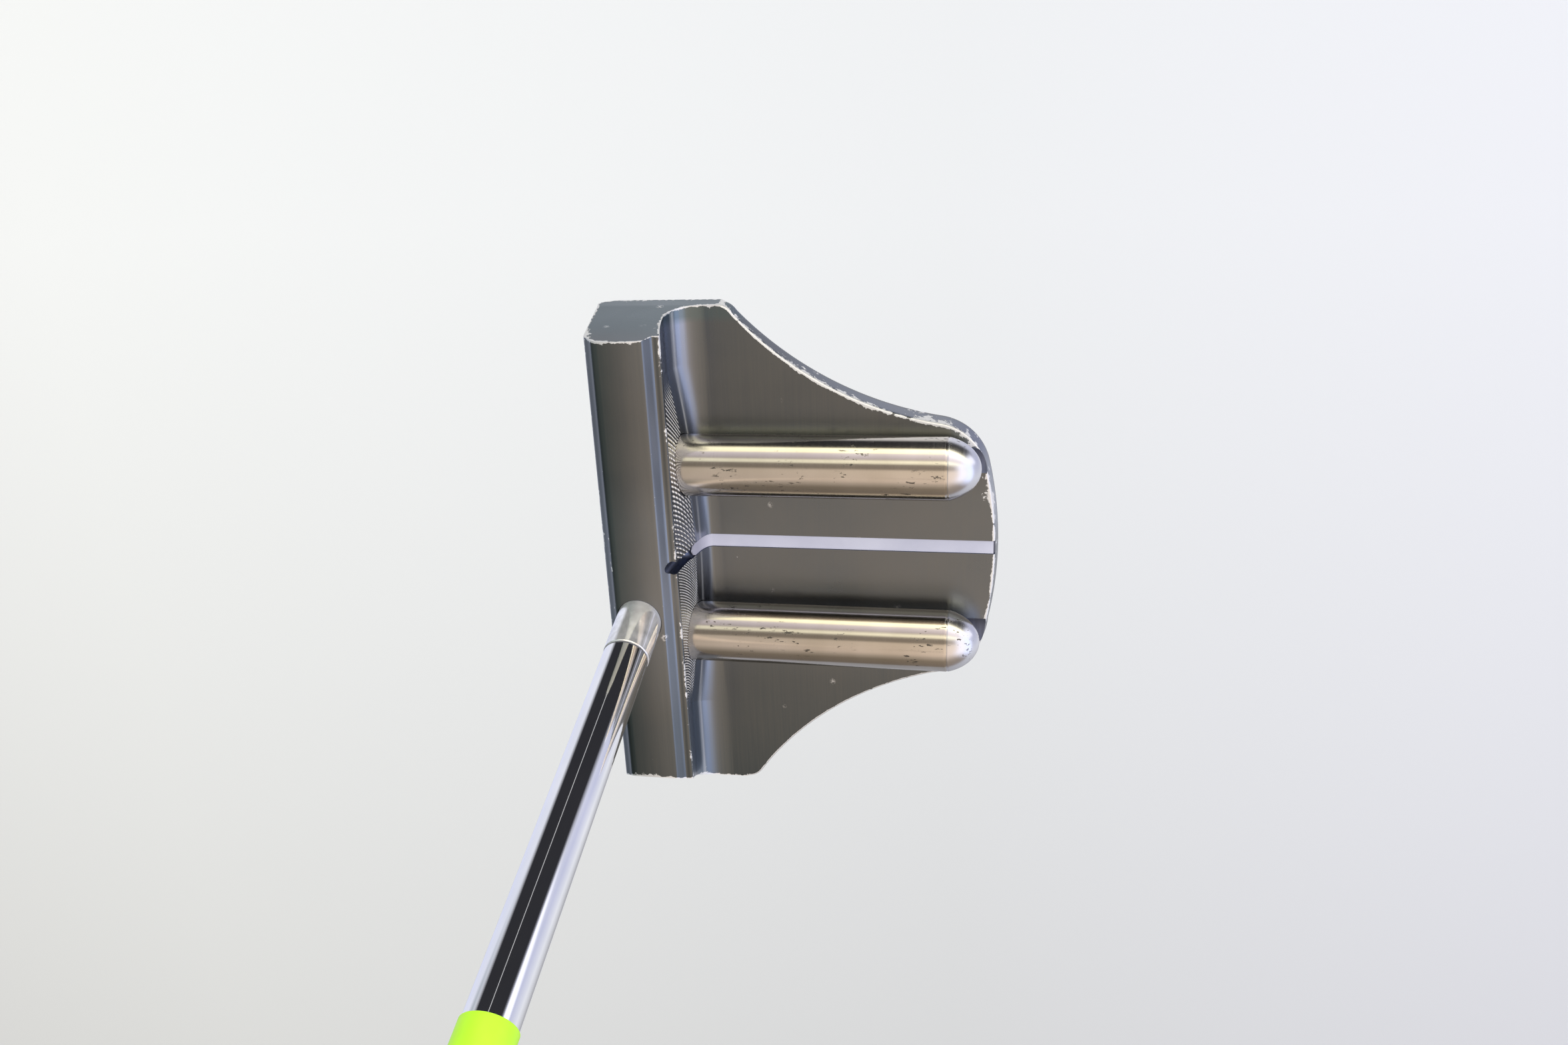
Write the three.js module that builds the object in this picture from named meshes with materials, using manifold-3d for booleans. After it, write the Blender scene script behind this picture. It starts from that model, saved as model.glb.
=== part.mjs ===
// Mallet putter: a milled head with two steel bars, a hosel post, a stepped steel shaft and a pistol grip.
// Millimetres, +Z up. The face looks along -Y, the toe along -X, and the shaft leans towards the heel, +X.
// The origin is the centre of the flat pad of the sole.
import * as THREE from 'three';
import { mergeVertices } from 'three/addons/utils/BufferGeometryUtils.js';
import Module from 'manifold-3d';

const wasm = await Module();
wasm.setup();

const RAD = Math.PI / 180;

// ---- head: places along Y are counted from the middle of the face, places along X from the sight line,
// ---- and heights from the flat pad of the sole
const SOLE_PAD_CENTRE_Y = 43;
const SOLE_PAD_HALF = 14;
const SOLE_CAMBER_RADIUS = 380;
const SOLE_FRONT_Y = 6;
const LEADING_EDGE = { y: -1, z: 2.4 };
const UNDER_EDGE = [{ y: -0.4, z: 1.1 }, { y: 1.6, z: 0.35 }];
const FACE_TOP = { y: 1.8, z: 21.8 };
const FRONT_CHAMFER_END = { y: 3.6, z: 23.4 };
const CROWN_HEIGHT = 24.9;
const CROWN_MIDDLE_Y = 9;
const CROWN_FRONT = { y: 6.2, z: 24.5 };
const CROWN_REAR = { y: 11.5, z: 24.75 };
const CROWN_END = { y: 14.1, z: 24.2 };
const LEDGE_HEIGHT = 21.9;
const LEDGE_START_Y = 15.4;
const LEDGE_CORNER_RISE = 0.2;
const LEDGE_END_Y = 16.7;
const WALL_Y = 17;
const WALL_PLAN_RADIUS = 430;
const WALL_STRAIGHT_BELOW = 14;
const FILLET_RADIUS = 8;
const FILLET_END_Y = 22;
const FILLET_STEPS = 6;
const FLOOR_HEIGHT = 5.6;
const OVERRUN = 6;

// ---- head outline in plan, at the height of the floor
const TOE_END_X = -50.1;
const HEEL_END_X = 57.7;
const REAR_Y = 79.7;
const CORNER_Y = 24.6;
const TOE_WAIST = { x: -48.3, y: 27.3 };
const TOE_HIP = { x: -26.1, y: 68 };
const TOE_TAIL = { x: -17, y: 77.8 };
const HEEL_TAIL = { x: 17.5, y: 77.9 };
const HEEL_HIP = { x: 29.1, y: 67 };
const HEEL_WAIST = { x: 55.5, y: 28.6 };
const HEEL_CORNER = { x: 57.4, y: 26.2 };
const HEEL_HOLLOW = 4.1;
const TOE_HOLLOW = 3.9;
const HEEL_TAIL_BULGE = 2.9;
const TOE_TAIL_BULGE = 2.2;
const REAR_BULGE = 1.85;
const HEEL_CORNER_BULGE = 0.3;
const TOE_CORNER_BULGE = 0.4;
const TOE_DRAFT = 0.18;
const HEEL_DRAFT = 0.54;
const WING_DRAFT = 0.1;

// ---- bars
const BAR_RADIUS = 6.35;
const BAR_OFFSET_X = 18.57;
const BAR_AXIS_Z = 11.5;
const BAR_FRONT_Y = 10.8;
const BAR_TIP_Y = 77;
const BAR_SIDES = 48;
const BAR_CLEARANCE = 0.1;
const SOCKET_FRONT_Y = BAR_FRONT_Y - 0.3;

// ---- bar screws, one from the sole into each bar
const SCREW_Y = 62;
const SCREW_SHANK_RADIUS = 1.9;
const SCREW_HEAD_RADIUS = 3.6;
const SCREW_HEAD_HEIGHT = 1.7;
const SCREW_RIM_HEIGHT = 0.2;
const SCREW_SINK = 0.3;
const SCREW_TOP_Z = 11.5;
const SCREW_CLEARANCE = 0.15;
const HEX_RADIUS = 1.45;
const HEX_DEPTH = 1.5;
const SCREW_SIDES = 24;

// ---- sight line groove and its paint
const SIGHT_WIDTH = 2.84;
const SIGHT_DEPTH = 0.6;
const NOTCH_AXIS_Y = 16.1;
const PAINT_THICKNESS = 0.4;
const PAINT_GAP = 0.1;
const PAINT_END_ANGLE = 40 * RAD;
const GROOVE_END_ANGLE = 50 * RAD;
const PAINT_REAR_Y = REAR_Y - 1.2;

// ---- shaft assembly: lengths along the shaft are counted from the top of the blade
const SHAFT_X = 10.9;
const SHAFT_Y = 8.8;
const SHAFT_BASE_Z = 24.3;
const LIE_ANGLE = 71.3 * RAD;
const SHAFT_SIDES = 32;
const POST_RADIUS = 4.7;
const POST_DEPTH = 12;
const POST_HEIGHT = 10.4;
const POST_CLEARANCE = 0.15;
const SPIGOT_RADIUS = 3.5;
const SPIGOT_TOP = 32;
const TIP_RADIUS = 4.51;
const BUTT_RADIUS = 7.35;
const SHAFT_WALL = 0.6;
const JOINT_GAP = 0.3;
const FIRST_STEP = 145;
const STEP_PITCH = 34;
const STEP_COUNT = 13;
const STEP_LENGTH = 1.5;
const BAND_START = 88;
const BAND_LENGTH = 40;
const BAND_THICKNESS = 0.25;
const CLUB_LENGTH = 864;

// ---- grip
const GRIP_LENGTH = 267;
const GRIP_CAP = 4;
const GRIP_END = { halfWidth: 9.7, flat: 9.6, back: 9.8 };
const GRIP_GROWTH = { halfWidth: 2.6, flat: 1.2, back: 2.4 };
const GRIP_SWELL_SHARE = 0.893;
const GRIP_HEEL = { share: 0.9, spread: 0.16, depth: 7 };
const TAPE_THICKNESS = 0.25;
const GRIP_RINGS = 15;
const GRIP_SIDES = 28;
const VENT_RADIUS = 1.5;
const TAPE_INSET = { below: 2, above: 4 };
const SLEEVE_GAP = 0.1;

const COLOURS = {
  head: { color: 0x4a5356, roughness: 0.4, metalness: 0.9 },
  steel: { color: 0xa89c88, roughness: 0.3, metalness: 1 },
  screw: { color: 0x8c8c8c, roughness: 0.4, metalness: 1 },
  paint: { color: 0xc9c9dc, roughness: 0.5, metalness: 0 },
  post: { color: 0xd0d0d2, roughness: 0.25, metalness: 1 },
  chrome: { color: 0xdadade, roughness: 0.08, metalness: 1 },
  band: { color: 0xb4f532, roughness: 0.35, metalness: 0 },
  tape: { color: 0xd8c9a0, roughness: 0.9, metalness: 0 },
  rubber: { color: 0x26272a, roughness: 0.85, metalness: 0 },
};

// ------------------------------------------------------------------ helpers

function solid(geometry) {
  const bare = geometry.clone();
  bare.deleteAttribute('normal');
  bare.deleteAttribute('uv');
  const merged = mergeVertices(bare, 1e-5);
  return new wasm.Manifold(new wasm.Mesh({
    numProp: 3,
    vertProperties: new Float32Array(merged.attributes.position.array),
    triVerts: new Uint32Array(merged.index.array),
  }));
}

function toGeometry(manifold) {
  const mesh = manifold.getMesh();
  const geometry = new THREE.BufferGeometry();
  geometry.setAttribute('position', new THREE.BufferAttribute(new Float32Array(mesh.vertProperties), 3));
  geometry.setIndex(new THREE.BufferAttribute(new Uint32Array(mesh.triVerts), 1));
  geometry.computeVertexNormals();
  return geometry;
}

function named(name, geometry, finish) {
  const mesh = new THREE.Mesh(geometry, new THREE.MeshStandardMaterial(COLOURS[finish]));
  mesh.name = name;
  return mesh;
}

// A closed skin through rings of equal length, each counter-clockwise seen from the last ring.
// flatten gives the plane coordinates of a ring's point, for the two end caps.
function loft(rings, flatten) {
  const count = rings[0].length;
  const positions = rings.flat().flatMap((point) => [point.x, point.y, point.z]);
  const index = [];
  for (let ring = 0; ring + 1 < rings.length; ring += 1) {
    for (let side = 0; side < count; side += 1) {
      const a = ring * count + side;
      const b = ring * count + (side + 1) % count;
      index.push(a, b, b + count, a, b + count, a + count);
    }
  }
  const last = (rings.length - 1) * count;
  for (const [a, b, c] of THREE.ShapeUtils.triangulateShape(rings[0].map(flatten), [])) index.push(a, c, b);
  for (const [a, b, c] of THREE.ShapeUtils.triangulateShape(rings.at(-1).map(flatten), [])) {
    index.push(last + a, last + b, last + c);
  }
  const geometry = new THREE.BufferGeometry();
  geometry.setAttribute('position', new THREE.Float32BufferAttribute(positions, 3));
  geometry.setIndex(index);
  return geometry;
}

const alongX = (point) => new THREE.Vector2(point.y, point.z);
const alongZ = (point) => new THREE.Vector2(point.x, point.y);

// Points on a circular arc from start to end; bulge is the arc's height, positive to the left of travel.
function arc(start, end, bulge, steps) {
  const chord = new THREE.Vector2().subVectors(end, start);
  const half = chord.length() / 2;
  const left = new THREE.Vector2(-chord.y, chord.x).normalize();
  const radius = (half * half + bulge * bulge) / (2 * bulge);
  const middle = new THREE.Vector2().addVectors(start, end).multiplyScalar(0.5);
  const centre = middle.addScaledVector(left, bulge - radius);
  const from = Math.atan2(start.y - centre.y, start.x - centre.x);
  const turn = -4 * Math.atan(bulge / half);
  const points = [];
  for (let step = 0; step < steps; step += 1) {
    const angle = from + turn * step / steps;
    points.push(new THREE.Vector2(
      centre.x + Math.abs(radius) * Math.cos(angle),
      centre.y + Math.abs(radius) * Math.sin(angle),
    ));
  }
  return points;
}

const P = (x, y) => new THREE.Vector2(x, y);

// A cylinder along Y between two places, with facets in step with the bars' facets.
function cylinderAlongY(x, z, radius, fromY, toY) {
  const geometry = new THREE.CylinderGeometry(radius, radius, toY - fromY, BAR_SIDES);
  return geometry.translate(x, (fromY + toY) / 2, z);
}

function cylinderAlongZ(x, y, radius, fromZ, toZ, sides) {
  const geometry = new THREE.CylinderGeometry(radius, radius, toZ - fromZ, sides);
  return geometry.rotateX(90 * RAD).translate(x, y, (fromZ + toZ) / 2);
}

// A turned piece about +Z from a closed profile of [radius, height] pairs.
function turned(profile, sides) {
  const geometry = new THREE.LatheGeometry(profile.map(([radius, height]) => P(radius, height)), sides);
  return geometry.rotateX(90 * RAD);
}

// A closed tube's profile: up the outside, down the inside, and back to the start.
function turnedRing(profile, sides) {
  return turned([...profile, profile[0]], sides);
}

// A slab cut from an outline in Y and Z, centred on the sight line.
function slabAcross(outline, width) {
  const geometry = new THREE.ExtrudeGeometry(new THREE.Shape(outline), { depth: width, bevelEnabled: false });
  geometry.translate(0, 0, -width / 2);
  return geometry.applyMatrix4(new THREE.Matrix4().set(0, 0, 1, 0, 1, 0, 0, 0, 0, 1, 0, 0, 0, 0, 0, 1));
}

// ------------------------------------------------------------------ head

const soleCamber = (x) => Math.max(0, Math.abs(x) - SOLE_PAD_HALF) ** 2 / (2 * SOLE_CAMBER_RADIUS);
const wallY = (x) => WALL_Y - x * x / (2 * WALL_PLAN_RADIUS);

// Height of the fillet between the wall and the floor.
function filletHeight(y) {
  const run = FILLET_END_Y - y;
  return FLOOR_HEIGHT + FILLET_RADIUS - Math.sqrt(Math.max(0, FILLET_RADIUS ** 2 - run * run));
}

// The section through blade and floor at a place along the face, counter-clockwise from the sole.
function headSection(x) {
  const camber = soleCamber(x);
  const wall = wallY(x);
  const points = [];
  points.push([SOLE_FRONT_Y, camber], [REAR_Y + OVERRUN, camber], [REAR_Y + OVERRUN, FLOOR_HEIGHT]);
  for (let step = 0; step <= FILLET_STEPS; step += 1) {
    const y = FILLET_END_Y + (wall - FILLET_END_Y) * step / FILLET_STEPS;
    points.push([y, filletHeight(y)]);
  }
  points.push([wall, WALL_STRAIGHT_BELOW]);
  points.push([(wall + LEDGE_END_Y) / 2, (WALL_STRAIGHT_BELOW + LEDGE_HEIGHT) / 2]);
  points.push([LEDGE_END_Y, LEDGE_HEIGHT], [LEDGE_START_Y, LEDGE_HEIGHT + LEDGE_CORNER_RISE]);
  points.push([CROWN_END.y, CROWN_END.z], [CROWN_REAR.y, CROWN_REAR.z], [CROWN_MIDDLE_Y, CROWN_HEIGHT]);
  points.push([CROWN_FRONT.y, CROWN_FRONT.z], [FRONT_CHAMFER_END.y, FRONT_CHAMFER_END.z]);
  points.push([FACE_TOP.y, FACE_TOP.z], [LEADING_EDGE.y, LEADING_EDGE.z + camber]);
  for (const { y, z } of UNDER_EDGE) points.push([y, z + camber]);
  return points.map(([y, z]) => new THREE.Vector3(x, y, z));
}

// The outline in plan at the floor's height, counter-clockwise from the face side of the heel.
function planOutline() {
  return [
    P(HEEL_END_X, -OVERRUN),
    P(HEEL_END_X, CORNER_Y),
    ...arc(HEEL_CORNER, HEEL_WAIST, -HEEL_CORNER_BULGE, 3),
    ...arc(HEEL_WAIST, HEEL_HIP, HEEL_HOLLOW, 14),
    ...arc(HEEL_HIP, HEEL_TAIL, -HEEL_TAIL_BULGE, 8),
    ...arc(HEEL_TAIL, TOE_TAIL, -REAR_BULGE, 10),
    ...arc(TOE_TAIL, TOE_HIP, -TOE_TAIL_BULGE, 8),
    ...arc(TOE_HIP, TOE_WAIST, TOE_HOLLOW, 14),
    ...arc(TOE_WAIST, { x: TOE_END_X, y: CORNER_Y }, -TOE_CORNER_BULGE, 3),
    P(TOE_END_X, CORNER_Y),
    P(TOE_END_X, -OVERRUN),
  ];
}

// The outline moved outwards and set at a height.
function outlineRing(outwards, height) {
  const outline = planOutline();
  return outline.map((point, place) => {
    const before = outline.at(place - 1);
    const after = outline[(place + 1) % outline.length];
    const normal = P(after.y - before.y, before.x - after.x).normalize();
    return new THREE.Vector3(point.x + normal.x * outwards, point.y + normal.y * outwards, height);
  });
}

// The two ends of the blade lean inwards going up, each by its own draft.
function headBlank() {
  const stations = [];
  for (let x = -66; x <= 78; x += 9) stations.push(headSection(x));
  const skirt = WING_DRAFT * (FLOOR_HEIGHT + OVERRUN);
  const top = outlineRing(0, CROWN_HEIGHT + OVERRUN);
  const outline = loft([outlineRing(skirt, -OVERRUN), outlineRing(0, FLOOR_HEIGHT), top], alongZ);
  const blank = solid(loft(stations, alongX)).intersect(solid(outline));
  const toeNormal = new THREE.Vector3(1, 0, -TOE_DRAFT).normalize();
  const heelNormal = new THREE.Vector3(-1, 0, -HEEL_DRAFT).normalize();
  const toePlace = new THREE.Vector3(TOE_END_X, 0, FLOOR_HEIGHT);
  const heelPlace = new THREE.Vector3(HEEL_END_X, 0, FLOOR_HEIGHT);
  return blank
    .trimByPlane(toeNormal.toArray(), toeNormal.dot(toePlace))
    .trimByPlane(heelNormal.toArray(), heelNormal.dot(heelPlace));
}

// The sight line's floor follows the floor and climbs the fillet to the notch in the wall.
function sightOutline(depth, thickness, startY, endAngle) {
  const centre = P(FILLET_END_Y, FLOOR_HEIGHT + FILLET_RADIUS);
  const low = [P(startY, FLOOR_HEIGHT - depth)];
  const high = [P(startY, FLOOR_HEIGHT - depth + thickness)];
  for (let step = 0; step <= 6; step += 1) {
    const angle = -90 * RAD - endAngle * step / 6;
    const direction = P(Math.cos(angle), Math.sin(angle));
    low.push(direction.clone().multiplyScalar(FILLET_RADIUS + depth).add(centre));
    high.push(direction.clone().multiplyScalar(FILLET_RADIUS + depth - thickness).add(centre));
  }
  return [...low.reverse(), ...high];
}

// A countersunk screw with its head down, or the larger space that it sits in when there is a gap round it.
function screwProfile(gap) {
  const top = SCREW_TOP_Z + 2 * gap;
  const bottom = gap > 0 ? -OVERRUN : SCREW_SINK;
  const rim = SCREW_HEAD_RADIUS + gap;
  const shank = SCREW_SHANK_RADIUS + gap;
  const coneStart = SCREW_SINK + SCREW_RIM_HEIGHT;
  return [
    [0, bottom], [rim, bottom], [rim, coneStart],
    [shank, coneStart + SCREW_HEAD_HEIGHT], [shank, top], [0, top],
  ];
}

function screwSpace(x) {
  return solid(turned(screwProfile(SCREW_CLEARANCE), SCREW_SIDES).translate(x, SCREW_Y, 0));
}

function postBore() {
  const length = POST_DEPTH + POST_HEIGHT + OVERRUN;
  const bore = new THREE.CylinderGeometry(
    POST_RADIUS + POST_CLEARANCE, POST_RADIUS + POST_CLEARANCE, length, SHAFT_SIDES,
  );
  bore.rotateX(90 * RAD).translate(0, 0, length / 2 - POST_DEPTH - JOINT_GAP);
  bore.rotateY(90 * RAD - LIE_ANGLE).translate(SHAFT_X, SHAFT_Y, SHAFT_BASE_Z);
  return solid(bore);
}

function headBody() {
  let body = headBlank();
  for (const x of [-BAR_OFFSET_X, BAR_OFFSET_X]) {
    const bed = cylinderAlongY(x, BAR_AXIS_Z, BAR_RADIUS + BAR_CLEARANCE, SOCKET_FRONT_Y, REAR_Y + OVERRUN);
    body = body.subtract(solid(bed)).subtract(screwSpace(x));
  }
  const groove = slabAcross(sightOutline(SIGHT_DEPTH, 3, REAR_Y + OVERRUN, GROOVE_END_ANGLE), SIGHT_WIDTH);
  const notch = cylinderAlongZ(0, NOTCH_AXIS_Y, SIGHT_WIDTH / 2, 8, 40, SCREW_SIDES);
  body = body.subtract(solid(groove)).subtract(solid(notch)).subtract(postBore());
  return named('head_body', toGeometry(body), 'head');
}

function bar(name, x) {
  const tipCentre = BAR_TIP_Y - BAR_RADIUS;
  const profile = [[0, BAR_FRONT_Y], [BAR_RADIUS - 0.5, BAR_FRONT_Y], [BAR_RADIUS, BAR_FRONT_Y + 0.5]];
  for (let step = 0; step <= 10; step += 1) {
    const angle = 90 * RAD * step / 10;
    profile.push([BAR_RADIUS * Math.cos(angle), tipCentre + BAR_RADIUS * Math.sin(angle)]);
  }
  profile.at(-1)[0] = 0;
  const rod = new THREE.LatheGeometry(profile.map(([radius, height]) => P(radius, height)), BAR_SIDES);
  rod.translate(x, 0, BAR_AXIS_Z);
  return named(name, toGeometry(solid(rod).subtract(screwSpace(x))), 'steel');
}

function barScrew(name, x) {
  const blank = turned(screwProfile(0), SCREW_SIDES).translate(x, SCREW_Y, 0);
  const socket = cylinderAlongZ(x, SCREW_Y, HEX_RADIUS, -1, SCREW_SINK + HEX_DEPTH, 6);
  return named(name, toGeometry(solid(blank).subtract(solid(socket))), 'screw');
}

function sightPaint() {
  const outline = sightOutline(SIGHT_DEPTH - PAINT_GAP, PAINT_THICKNESS, PAINT_REAR_Y, PAINT_END_ANGLE);
  return named('sight_line_paint', slabAcross(outline, SIGHT_WIDTH - 2 * PAINT_GAP), 'paint');
}

// ------------------------------------------------------------------ shaft assembly, about its own axis

function hoselPost() {
  const profile = [[0, -POST_DEPTH], [POST_RADIUS, -POST_DEPTH], [POST_RADIUS, POST_HEIGHT],
    [SPIGOT_RADIUS, POST_HEIGHT], [SPIGOT_RADIUS, SPIGOT_TOP], [0, SPIGOT_TOP]];
  return named('hosel_post', turned(profile, SHAFT_SIDES), 'post');
}

const shaftBaseToGround = SHAFT_BASE_Z / Math.sin(LIE_ANGLE);
const gripTop = CLUB_LENGTH - shaftBaseToGround;
const gripBottom = gripTop - GRIP_LENGTH;
const shaftTop = gripTop - GRIP_CAP - JOINT_GAP;

function shaft() {
  const rise = (BUTT_RADIUS - TIP_RADIUS) / STEP_COUNT;
  const outer = [[TIP_RADIUS, POST_HEIGHT + JOINT_GAP]];
  for (let step = 0; step < STEP_COUNT; step += 1) {
    const place = FIRST_STEP + STEP_PITCH * step;
    outer.push([TIP_RADIUS + rise * step, place], [TIP_RADIUS + rise * (step + 1), place + STEP_LENGTH]);
  }
  const lastStep = FIRST_STEP + STEP_PITCH * STEP_COUNT;
  const inner = [
    [BUTT_RADIUS, shaftTop], [BUTT_RADIUS - SHAFT_WALL, shaftTop], [BUTT_RADIUS - SHAFT_WALL, lastStep],
    [TIP_RADIUS - SHAFT_WALL, FIRST_STEP], [TIP_RADIUS - SHAFT_WALL, POST_HEIGHT + JOINT_GAP],
  ];
  return named('shaft', turnedRing([...outer, ...inner], SHAFT_SIDES), 'chrome');
}

function sleeve(name, innerRadius, thickness, from, to, finish) {
  const outerRadius = innerRadius + thickness;
  const profile = [[outerRadius, from], [outerRadius, to], [innerRadius, to], [innerRadius, from]];
  return named(name, turnedRing(profile, SHAFT_SIDES), finish);
}

// The pistol grip's section: a flat for the thumbs towards -X and a rounded back, which swells into a
// heel near the butt.
function gripRing(share) {
  const swell = Math.sin(Math.min(1, share / GRIP_SWELL_SHARE) * 90 * RAD);
  const hook = Math.exp(-(((share - GRIP_HEEL.share) / GRIP_HEEL.spread) ** 2));
  const halfWidth = GRIP_END.halfWidth + GRIP_GROWTH.halfWidth * swell;
  const flat = GRIP_END.flat + GRIP_GROWTH.flat * swell;
  const back = GRIP_END.back + GRIP_GROWTH.back * swell + GRIP_HEEL.depth * hook;
  const ring = [];
  for (let side = 0; side < GRIP_SIDES; side += 1) {
    const angle = 360 * RAD * side / GRIP_SIDES;
    const across = Math.cos(angle);
    const reach = across < 0 ? -flat * Math.abs(across) ** 0.5 : back * across;
    ring.push(new THREE.Vector3(reach, halfWidth * Math.sin(angle), gripBottom + GRIP_LENGTH * share));
  }
  return ring;
}

function grip() {
  const rings = [];
  for (let ring = 0; ring < GRIP_RINGS; ring += 1) rings.push(gripRing(ring / (GRIP_RINGS - 1)));
  const boreRadius = BUTT_RADIUS + SLEEVE_GAP + TAPE_THICKNESS + SLEEVE_GAP;
  const bore = cylinderAlongZ(0, 0, boreRadius, gripBottom - OVERRUN, gripTop - GRIP_CAP, SHAFT_SIDES);
  const vent = cylinderAlongZ(0, 0, VENT_RADIUS, gripTop - 2 * GRIP_CAP, gripTop + OVERRUN, 12);
  const body = solid(loft(rings, alongZ)).subtract(solid(bore)).subtract(solid(vent));
  return named('grip', toGeometry(body), 'rubber');
}

// ------------------------------------------------------------------ assembly

const putter = new THREE.Group();

const head = new THREE.Group();
head.position.set(0, -SOLE_PAD_CENTRE_Y, 0);
head.add(headBody());
head.add(bar('toe_bar', -BAR_OFFSET_X), bar('heel_bar', BAR_OFFSET_X));
head.add(barScrew('toe_bar_screw', -BAR_OFFSET_X), barScrew('heel_bar_screw', BAR_OFFSET_X));
head.add(sightPaint());

const shaftGroup = new THREE.Group();
shaftGroup.position.set(SHAFT_X, SHAFT_Y, SHAFT_BASE_Z);
shaftGroup.rotation.y = 90 * RAD - LIE_ANGLE;
shaftGroup.add(hoselPost(), shaft());
const bandEnd = BAND_START + BAND_LENGTH;
const tapeStart = gripBottom + TAPE_INSET.below;
const tapeEnd = shaftTop - TAPE_INSET.above;
shaftGroup.add(sleeve('shaft_band', TIP_RADIUS + SLEEVE_GAP, BAND_THICKNESS, BAND_START, bandEnd, 'band'));
shaftGroup.add(sleeve('grip_tape', BUTT_RADIUS + SLEEVE_GAP, TAPE_THICKNESS, tapeStart, tapeEnd, 'tape'));
shaftGroup.add(grip());
head.add(shaftGroup);
putter.add(head);

export default putter;
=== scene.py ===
import math
from contextlib import contextmanager

import bmesh
import bpy
import numpy as np
from mathutils import Matrix, Vector
from mathutils.geometry import delaunay_2d_cdt


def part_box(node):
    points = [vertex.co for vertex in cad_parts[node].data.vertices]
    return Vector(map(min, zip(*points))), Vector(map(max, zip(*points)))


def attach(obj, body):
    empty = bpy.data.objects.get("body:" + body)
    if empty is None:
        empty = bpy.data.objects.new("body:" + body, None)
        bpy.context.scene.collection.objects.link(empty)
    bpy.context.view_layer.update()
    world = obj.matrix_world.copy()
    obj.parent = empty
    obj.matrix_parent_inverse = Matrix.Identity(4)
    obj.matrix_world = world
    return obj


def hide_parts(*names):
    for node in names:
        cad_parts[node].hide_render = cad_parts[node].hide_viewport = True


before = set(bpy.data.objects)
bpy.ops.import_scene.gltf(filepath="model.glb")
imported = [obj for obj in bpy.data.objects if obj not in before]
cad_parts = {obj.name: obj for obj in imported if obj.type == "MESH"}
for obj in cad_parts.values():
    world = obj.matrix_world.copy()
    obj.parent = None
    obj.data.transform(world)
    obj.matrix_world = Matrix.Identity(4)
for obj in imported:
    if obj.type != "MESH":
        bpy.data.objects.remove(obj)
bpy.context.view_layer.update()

MM = 0.001

# ---- places read from the frame; HEAD_SHIFT takes the head's own y to the club's
HEAD_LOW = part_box("head_body")[0]
LEAD_Y = -1.0
HEAD_SHIFT = np.array([0.0, HEAD_LOW.y / MM - LEAD_Y, 0.0])


def bar_facts(node):
    """Centre line (x, z), radius, front and tip of a bar, in the head's own frame."""
    low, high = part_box(node)
    centre = (low + high) / 2 / MM
    front = low.y / MM - HEAD_SHIFT[1]
    tip = high.y / MM - HEAD_SHIFT[1]
    return centre.x, centre.z, (high.x - low.x) / 2 / MM, front, tip


BARS = {"toe": bar_facts("toe_bar"), "heel": bar_facts("heel_bar")}

# ---- head: x counts from the sight line, z from the sole, and y from 1 mm behind the leading edge
FLOOR_Z = 5.6
REAR_Y = 79.7
TOE_X, HEEL_X = -50.1, 57.7
CORNER_Y = 24.6
SOLE_PAD_HALF, SOLE_RADIUS, SOLE_FRONT_Y = 14.0, 380.0, 5.5
RIM_WIDTH, RIM_HEIGHT = 1.0, 1.1
EDGE = 0.35
# how far the toe end, the heel end and the skirt lean in for each millimetre of height
TOE_SLOPE, HEEL_SLOPE, SKIRT_SLOPE = 0.18, 0.54, 0.12

# ---- back wall, as (y, z): its top, the crease under it, and the fillet from the crease to the floor.
# The wall bulges, so the crease and the fillet's foot have a place at its ends and one at its middle.
WALL_TOP = (16.9, 21.7)
CREASE_END, CREASE_MIDDLE = (14.9, 12.0), (18.1, 11.0)
FILLET_FOOT_END, FILLET_FOOT_MIDDLE = 21.6, 20.4
FILLET_REACH, FILLET_LIFT = 0.6, 0.35
FILLET_LIP, FILLET_DROP = 0.12, 0.25
LINE_Z, LINE_WIDTH, LINE_LIGHT = 8.8, 0.3, 0.45

# ---- fly cuts on the wall: arcs and dashes on the toe side, finer crossed arcs on the other
FLYCUT_HALF, FLYCUT_FADE = 38.5, 5.0
FLYCUT_RADIUS, FLYCUT_CENTRE_Z, FLYCUT_DEPTH = 26.0, 31.0, 0.15
FLYCUT_FEED = {"toe": 1.0, "heel": 0.62}
FLYCUT_SHARPNESS = 1.6
DASH_PITCH, DASH_LEAN, DASH_SHARPNESS = 1.5, 0.1, 2.5
DASH_START, DASH_FADE = -27.0, 4.0
FULL_X, FULL_WIDTH, FULL_LIFT = -15.0, 7.0, 0.18
CROSS_LIFT = 1.3

# ---- top of the blade and its face
CROWN_TOP, CROWN_FALL, CROWN_MIDDLE, CROWN_HALF = 24.85, 0.42, 9.0, 4.6
FACE_TOP, FACE_HEIGHT, FACE_LOW_Z = (1.76, 21.3), 18.6, 3.2
FACE_GROOVES, FACE_GROOVE_DEPTH = 23, 0.05

# ---- sight line
SIGHT_HALF = 1.42
SIGHT_DEPTH = 0.55
PAINT_SINK, PAINT_HOLLOW, PAINT_GAP = 0.22, 0.06, 0.05

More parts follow.
